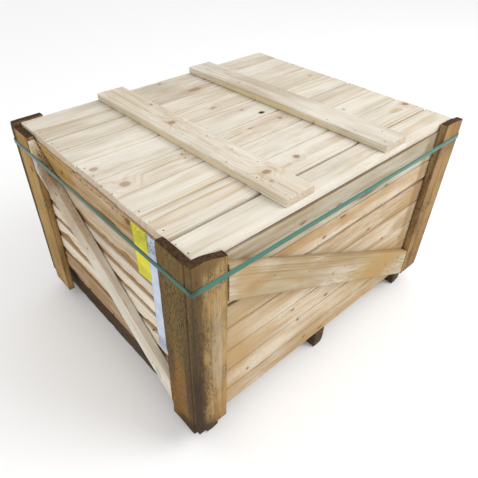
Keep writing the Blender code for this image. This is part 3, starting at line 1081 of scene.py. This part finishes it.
def board_values(name, length, width, thickness):
    kind, number = kind_of(name)
    draw = random.Random(name)
    trims = [draw.uniform(0.0, EDGE_TRIM) for _ in range(4)]
    low_start, low_end, high_start, high_end = trims
    high_start, high_end = OPEN_SEAM.get(name, (high_start, high_end))
    on_edge = kind in ("skid", "sill")
    ends = 0.004 if kind == "lid_board" else 0.001
    return {
        "Length": length, "Width": width, "Thickness": thickness,
        "Rows Along": int(length / ROW_SPACING) + 1,
        "Rows Across": 13, "Rows Deep": 11 if on_edge else 7,
        "Arris": 0.004 if kind == "skid" else 0.0015,
        "Wear": WEAR.get(kind, 0.003), "Unevenness": 0.001 if kind == "skid" else 0.0005,
        "Ragged Ends": 0.0008, "Wane Depth": 0.004,
        "Low Trim Start": low_start, "Low Trim End": low_end,
        "High Trim Start": high_start, "High Trim End": high_end,
        "Start Trim": draw.uniform(0.0, ends), "End Trim": draw.uniform(0.0, ends),
        "Wane": WANE.get(kind, (0.0,) * 9)[number], "Worn Corner": WORN_CORNER.get(name, 0.0),
        "Pith Across": draw.uniform(-0.5, 0.5) * width, "Pith Deep": -draw.uniform(0.02, 0.08),
        "Tone": (*TONES[TONE_OF[kind][number]], 1.0), "Seed": draw.uniform(1.0, 90.0),
        "Material": FINISHES[FINISH_OF.get(kind, "wall_wood")],
    }


# %% Make all the boards
def body_of(name):
    behaviour = frame["record"]["behaviour"]
    return next(body for body, members in behaviour["bodies"].items() if name in members)


SLOTS = {row["node"]: row["material_slot"] for row in frame["record"]["subparts"]}


def finish_piece(piece, body, slot, *nodes):
    """Ties a finished piece to its body and the plain solids that it stands for; the slot is not used.
    """
    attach(piece, body)
    if nodes:
        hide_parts(*nodes)
    return piece


def place_mesh(name, mesh, matrix):
    mesh.transform(matrix)
    piece = bpy.data.objects.new(name, mesh)
    scene.collection.objects.link(piece)
    return piece


FALL = {"brace": -1, "lid_batten": 1}  # which way the askew pieces lean along their length


def make_board(name):
    fall = next((way for kind, way in FALL.items() if kind in name), 0)
    if fall:
        matrix, size, slant = slanted_frame(name, fall)
    else:
        matrix, size = timber_frame(name)
        slant = 0.0
    values = board_values(name, *size) | {"Slant": slant}
    mesh = run_tree(f"{name}_sawn", BOARD_TREE, values)
    return finish_piece(place_mesh(f"{name}_sawn", mesh, matrix), body_of(name), SLOTS[name], name)


boards = [make_board(name) for name in WOODEN]
print(len(boards), "boards with", sum(len(b.data.polygons) for b in boards), "faces")

# %% [markdown]
# ## The strap
# One plastic band runs round all four walls, pulled tight over the corner cleats, and its two
# ends overlap and are welded together on the front. A tree sweeps a thin oblong section along
# a path, so the same tree makes the loop and the overlapping tail. The waffle that the rollers
# press into the band is only a few hundredths of a millimetre deep, so it is bump.

# %% The band tree
BAND_WIDTH = 0.0152
BAND_THICKNESS = 0.00055
BAND_LIFT = 0.00005  # from the cleats to the band


def band_tree():
    tree, entry, leaving = new_group("band along a path", "GeometryNodeTree", {
        "Geometry": "Path", "Float": "Width, Thickness", "Material": "Material",
    }, {"Geometry": "Geometry"})
    curve = made(tree, "GeometryNodeMeshToCurve", entry("Path"))
    curve = made(tree, "GeometryNodeSetCurveNormal", curve, mode="Z_UP")
    curve = stored(curve, "run", made(tree, "GeometryNodeSplineParameter", output="Length"))
    section = {"Width": entry("Thickness"), "Height": entry("Width")}
    section = made(tree, "GeometryNodeCurvePrimitiveQuadrilateral", named=section)
    named = {"Curve": curve, "Profile Curve": section, "Fill Caps": True}
    return finish_tree(made(tree, "GeometryNodeCurveToMesh", named=named), entry, leaving)


BAND_TREE = band_tree()
print("band tree with", len(BAND_TREE.nodes), "nodes")


# %% The strap's plastic
def strap_plastic():
    material, tree, shader, place = new_material("strap plastic")
    run = attribute(tree, "run")
    cloud = noise(place, 14.0, 4.0, 0.6)
    colour = mixed(cloud, (0.012, 0.125, 0.083), (0.022, 0.165, 0.115))
    scratch = noise(place * (60.0, 60.0, 900.0), 1.0, 3.0)
    colour = mixed(fade(scratch, 0.62, 0.80, 0.0, 0.35), colour, (0.06, 0.23, 0.18))
    # The first patch darkens the band along the whole left wall: painted shade, as that side gets less
    # light. The second darkens it further round the near left corner.
    colour = with_stains_and_painted_shade(colour, (
        ((STRAP_LOW.x, 0.0, 0.0), (0.03, 0.60, 2.0), 0.85, (0.012, 0.075, 0.042), 0.0),
        ((STRAP_LOW.x, STRAP_LOW.y, 0.0), (0.022, 0.022, 2.0), 0.85, (0.01, 0.028, 0.02), 0.0),
    ), place=place, wobble=cloud, grit=scratch)
    feed(shader["Base Color"], colour)
    feed(shader["Roughness"], fade(cloud, 0.3, 0.7, 0.28, 0.46))
    up = split(place)[2]
    turns = math.tau / WAFFLE_PITCH
    waffle = maths("SINE", run * turns) * maths("SINE", up * turns)
    feed(shader["Normal"], bump(waffle, 0.35, 0.0002))
    return material


WAFFLE_PITCH = 0.004
STRAP_LOW, STRAP_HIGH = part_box("strap")
STRAP_PLASTIC = strap_plastic()


# %% The loop and its overlap
STRAP_SOLID = 0.0012  # thickness of the plain solid
BEND_RADIUS = 0.0024
BEND_STEPS = 6
PATH_STEP = 0.012
OVERLAP = (0.047, 0.157)  # along the front, where the two ends lie over each other


def wavering(x, y, z):
    """A strap's height strays by a fraction of a millimetre between the cleats."""
    return Vector((x, y, z + 0.0003 * math.sin(7.0 * x + 5.0 * y)))


def path_mesh(name, points, closed):
    mesh = bpy.data.meshes.new(name)
    count = len(points)
    edges = [(at, (at + 1) % count) for at in range(count if closed else count - 1)]
    mesh.from_pydata(points, edges, [])
    return mesh


def loop_points(half_x, half_y, z):
    points = []
    corners = ((1, 1), (-1, 1), (-1, -1), (1, -1))
    for quarter, (sx, sy) in enumerate(corners):
        centre = (sx * (half_x - BEND_RADIUS), sy * (half_y - BEND_RADIUS))
        for step in range(BEND_STEPS + 1):
            angle = math.radians(90) * (quarter + step / BEND_STEPS)
            points.append(wavering(
                centre[0] + BEND_RADIUS * math.cos(angle), centre[1] + BEND_RADIUS * math.sin(angle), z
            ))
        side = 2 * ((half_x, half_y)[quarter % 2] - BEND_RADIUS)
        splits = int(side / PATH_STEP)
        heading = math.radians(90) * (quarter + 2)
        ahead = (math.cos(heading), math.sin(heading))
        start = points[-1]
        points += [
            wavering(start.x + ahead[0] * side * i / splits, start.y + ahead[1] * side * i / splits, z)
            for i in range(1, splits)
        ]
    return points


strap_z = (STRAP_LOW.z + STRAP_HIGH.z) / 2
inset = STRAP_SOLID - BAND_LIFT - BAND_THICKNESS / 2
outer_inset = inset - BAND_THICKNESS - BAND_LIFT
loop = path_mesh("loop", loop_points(STRAP_HIGH.x - inset, STRAP_HIGH.y - inset, strap_z), True)
band = {"Width": BAND_WIDTH, "Thickness": BAND_THICKNESS, "Material": STRAP_PLASTIC}
strap_band = place_mesh("strap_band", run_tree("strap_band", BAND_TREE, band, loop), Matrix())
finish_piece(strap_band, "crate", "strap", "strap")
tail_length = OVERLAP[1] - OVERLAP[0]
steps = int(tail_length / PATH_STEP)
tail_y, tail_z = STRAP_LOW.y + outer_inset, strap_z + 0.0004
tail_points = [
    wavering(OVERLAP[0] + tail_length * i / steps, tail_y, tail_z) for i in range(steps + 1)
]
tail = path_mesh("tail", tail_points, False)
strap_overlap = place_mesh("strap_overlap", run_tree("strap_overlap", BAND_TREE, band, tail), Matrix())
finish_piece(strap_overlap, "crate", "strap")
print("strap", len(strap_band.data.polygons), "faces, overlap", len(strap_overlap.data.polygons))

# %% [markdown]
# ## Nails
# Every crossing of two boards is held by nails, a few hundred in all. Their heads are small
# low cones with a worn rim, set almost flush. A tree puts one head on every point of a cloud,
# turned to face outwards, each a little askew and a little larger or smaller than the next.

# %% The nail tree
NAIL_RADIUS = 0.0026
NAIL_HEIGHT = 0.0014
NAIL_SINK = 0.0017  # from the boards' outer faces to the underside of a nail's head


def nail_tree():
    tree, entry, leaving = new_group("nail heads", "GeometryNodeTree", {
        "Geometry": "Points", "Float": "Radius, Height, Tilt", "Int": "Seed", "Material": "Material",
    }, {"Geometry": "Geometry"})
    head = made(tree, "GeometryNodeMeshCone", output="Mesh", named={
        "Vertices": 9, "Radius Top": entry("Radius") * 0.82, "Radius Bottom": entry("Radius"),
        "Depth": entry("Height"),
    })
    facing = made(
        tree, "GeometryNodeInputNamedAttribute", named={"Name": "facing"}, data_type="FLOAT_VECTOR",
        output="Attribute",
    )
    chance = {"named": {"Seed": entry("Seed")}}
    askew = made(
        tree, "FunctionNodeRandomValue", (-1.0, -1.0, -1.0), (1.0, 1.0, 1.0),
        data_type="FLOAT_VECTOR", **chance,
    )
    heading = {"Vector": facing + askew * entry("Tilt")}
    turned = made(tree, "FunctionNodeAlignRotationToVector", named=heading, axis="Z")
    size = open_output(add(tree, "FunctionNodeRandomValue", 0.86, 1.06, data_type="FLOAT", **chance))
    placed = made(tree, "GeometryNodeInstanceOnPoints", named={
        "Points": entry("Points"), "Instance": head, "Rotation": turned, "Scale": size,
    })
    return finish_tree(placed, entry, leaving)


def nail_steel():
    material, _, shader, place = new_material("rusty nail steel")
    rust = fade(noise(place, 160.0, 3.0, 0.6), 0.4, 0.6)
    feed(shader["Base Color"], mixed(rust, (0.13, 0.12, 0.11), (0.08, 0.045, 0.025)))
    feed(shader["Metallic"], fade(rust, 0.0, 1.0, 0.7, 0.1))
    feed(shader["Roughness"], fade(rust, 0.0, 1.0, 0.45, 0.8))
    return material


NAIL_TREE = nail_tree()
NAIL_STEEL = nail_steel()
print("nail tree with", len(NAIL_TREE.nodes), "nodes")


# %% Where the nails go
def numbered(kind):
    return [name for name in WOODEN if name.startswith(kind)]


NAIL_STRAY = 0.006  # how far a nail may be driven beside its mark
aim = random.Random(5)


def add_nail(nails, spot, outward):
    outward = Vector(outward)
    stray = Vector([aim.uniform(-NAIL_STRAY, NAIL_STRAY) for _ in range(3)])
    stray -= stray.dot(outward) * outward
    nails.append((Vector(spot) + stray - NAIL_SINK * outward, outward))


def wall_nails(wall, outward):
    """Two nails, set askew, wherever a cleat or the brace crosses a board of the wall."""
    nails = []
    face_axis = 0 if outward[0] else 1
    run_axis = 1 - face_axis
    for board in numbered(f"{wall}_board"):
        low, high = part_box(board)
        height = high.z - low.z
        for cleat in numbered(f"{wall}_cleat"):
            cleat_low, cleat_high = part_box(cleat)
            spot = (cleat_low + cleat_high) / 2
            spot[face_axis] = (cleat_high if outward[face_axis] > 0 else cleat_low)[face_axis]
            for side in (-1, 1):
                spot[run_axis] = (cleat_low[run_axis] + cleat_high[run_axis]) / 2 + side * 0.026
                spot.z = (low.z + high.z) / 2 + side * 0.22 * height
                add_nail(nails, spot, outward)
        brace_low, brace_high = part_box(f"{wall}_brace")
        middle = (brace_low + brace_high) / 2
        matrix, (length, _, _), _ = slanted_frame(f"{wall}_brace", -1)
        run = matrix.to_3x3() @ Vector((1, 0, 0))
        share = ((low.z + high.z) / 2 - middle.z) / run.z
        if abs(share) < length / 2 - 0.05:
            for side in (-1, 1):
                spot = middle + run * (share + side * 0.018)
                spot[face_axis] = (brace_high if outward[face_axis] > 0 else brace_low)[face_axis]
                spot.z += side * 0.012
                add_nail(nails, spot, outward)
    return nails


def top_nails(boards, bearers, top, margin):
    """Two nails down through each crossing of a board and the piece that it is nailed to."""
    nails = []
    for board in boards:
        low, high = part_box(board)
        for bearer in bearers:
            bearer_low, bearer_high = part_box(bearer)
            for side in (-1, 1):
                x = (bearer_low.x + bearer_high.x) / 2 + side * margin
                y = (low.y + high.y) / 2 + side * 0.25 * (high.y - low.y)
                add_nail(nails, (x, y, top), UP)
    return nails


crate_nails = []
OUTWARD = {"front": (0, -1, 0), "back": (0, 1, 0), "left": (-1, 0, 0), "right": (1, 0, 0)}
for wall, outward in OUTWARD.items():
    crate_nails += wall_nails(wall, outward)
deck_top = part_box("deck_board_1")[1].z
crate_nails += top_nails(numbered("deck_board"), numbered("skid"), deck_top, 0.008)
batten_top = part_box("lid_batten_left")[1].z
lid_nails = top_nails(numbered("lid_board"), numbered("lid_batten"), batten_top, 0.026)
EDGE_MARGIN = 0.011  # from the lid's ends to the nails into the walls under it
for board in numbered("lid_board"):
    low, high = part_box(board)
    for x in (low.x + EDGE_MARGIN, high.x - EDGE_MARGIN):
        for share in (0.25, 0.75):
            add_nail(lid_nails, (x, low.y + share * (high.y - low.y), high.z), UP)
print(len(crate_nails), "nails in the crate and", len(lid_nails), "in the lid")


# %% Set the nails
def set_nails(name, nails, body, seed):
    cloud = bpy.data.meshes.new(name)
    cloud.from_pydata([spot for spot, _ in nails], [], [])
    facing = cloud.attributes.new("facing", "FLOAT_VECTOR", "POINT")
    for at, (_, outward) in enumerate(nails):
        facing.data[at].vector = outward
    values = {
        "Radius": NAIL_RADIUS, "Height": NAIL_HEIGHT, "Tilt": 0.06, "Seed": seed,
        "Material": NAIL_STEEL,
    }
    piece = place_mesh(name, run_tree(name, NAIL_TREE, values, cloud), Matrix())
    return finish_piece(piece, body, "nail_steel")


for name, nails, body, seed in (
    ("crate_nails", crate_nails, "crate", 7), ("lid_nails", lid_nails, "lid", 11),
):
    print(name, len(set_nails(name, nails, body, seed).data.polygons), "faces")

# %% [markdown]
# ## Labels
# Two paper labels are stuck to the left wall behind the strap: a bright yellow one, and a long
# bluish white one that runs down beside the cleat. Paper on rough boards doesn't lie flat, so
# each is a thin closed sheet that ripples by a millimetre. They stay blank but for their specks.

# %% Label paper
def label_paper(name, colour, *patches):
    material, _, shader, place = new_material(name)
    cloud = noise(place, 30.0, 3.0, 0.6)
    grit = noise(place, 260.0, 3.0, 0.7)
    paper = mixed(fade(cloud, 0.35, 0.65), colour, tuple(0.86 * c for c in colour))
    paper = with_stains_and_painted_shade(paper, patches, place=place, wobble=cloud, grit=grit)
    feed(shader["Base Color"], paper)
    feed(shader["Roughness"], fade(cloud, 0.3, 0.7, 0.45, 0.65))
    feed(shader["Normal"], bump(cloud, 0.3, 0.0008))
    return material


YELLOW_PAPER = label_paper(
    "yellow label paper", (0.72, 0.66, 0.004),
    ((LEFT_FACE, -0.235, 0.625), (0.1, 0.04, 0.02), 0.9, (0.12, 0.10, 0.01), 1.0),
    ((LEFT_FACE, -0.215, 0.50), (0.1, 0.05, 0.02), 0.9, (0.50, 0.44, 0.01), 0.3),
)
PALE_PAPER = label_paper(
    "pale label paper", (0.56, 0.62, 0.76),
    ((LEFT_FACE, -0.285, 0.61), (0.1, 0.06, 0.05), 0.9, (0.10, 0.12, 0.20), 1.0),
    ((LEFT_FACE, -0.270, 0.28), (0.1, 0.04, 0.025), 0.9, (0.28, 0.31, 0.38), 0.3),
)
PAPER_THICKNESS = 0.0003
PAPER_LIFT = 0.0003
RIPPLE = 0.0011


# %% The two labels
def label_sheet(name, corners, rows, columns, seed, material):
    """A closed rippled sheet on the left wall. The corners are (y, z): lower back, lower front,
    upper front, upper back."""
    draw = random.Random(seed)
    waves = [(draw.uniform(30, 90), draw.uniform(25, 70), draw.uniform(0, 6)) for _ in range(4)]
    low_back, low_front, up_front, up_back = (Vector(corner) for corner in corners)
    points = []
    for side in (0.0, PAPER_THICKNESS):
        for row in range(rows + 1):
            back, front = low_back.lerp(up_back, row / rows), low_front.lerp(up_front, row / rows)
            for column in range(columns + 1):
                spot = back.lerp(front, column / columns)
                rise = sum(math.sin(a * spot.x + b * spot.y + c) for a, b, c in waves) / len(waves)
                ripple = RIPPLE * (0.5 + 0.5 * rise)
                points.append((LEFT_FACE - PAPER_LIFT - ripple - side, spot.x, spot.y))
    wide, layer = columns + 1, (rows + 1) * (columns + 1)
    faces = []
    for row in range(rows):
        for column in range(columns):
            a = row * wide + column
            faces.append((a, a + 1, a + wide + 1, a + wide))
            faces.append(tuple(layer + at for at in (a, a + wide, a + wide + 1, a + 1)))
    rim = [*range(wide), *range(2 * wide - 1, layer, wide)]
    rim += [*range(layer - 2, layer - wide - 1, -1), *range(layer - 2 * wide, 0, -wide)]
    for at, following in zip(rim, rim[1:] + rim[:1]):
        faces.append((following, at, at + layer, following + layer))
    sheet = add_mesh(name, points, faces)
    sheet.data.materials.append(material)
    sheet.data.polygons.foreach_set("use_smooth", [True] * len(sheet.data.polygons))
    print(name, len(faces), "faces")
    return finish_piece(sheet, "crate", "label_paper")


label_sheet(
    "label_yellow", ((-0.196, 0.479), (-0.254, 0.484), (-0.253, 0.634), (-0.191, 0.634)),
    30, 12, 3, YELLOW_PAPER,
)
label_sheet(
    "label_pale", ((-0.247, 0.250), (-0.3165, 0.252), (-0.3165, 0.634), (-0.2545, 0.634)),
    60, 12, 5, PALE_PAPER,
)
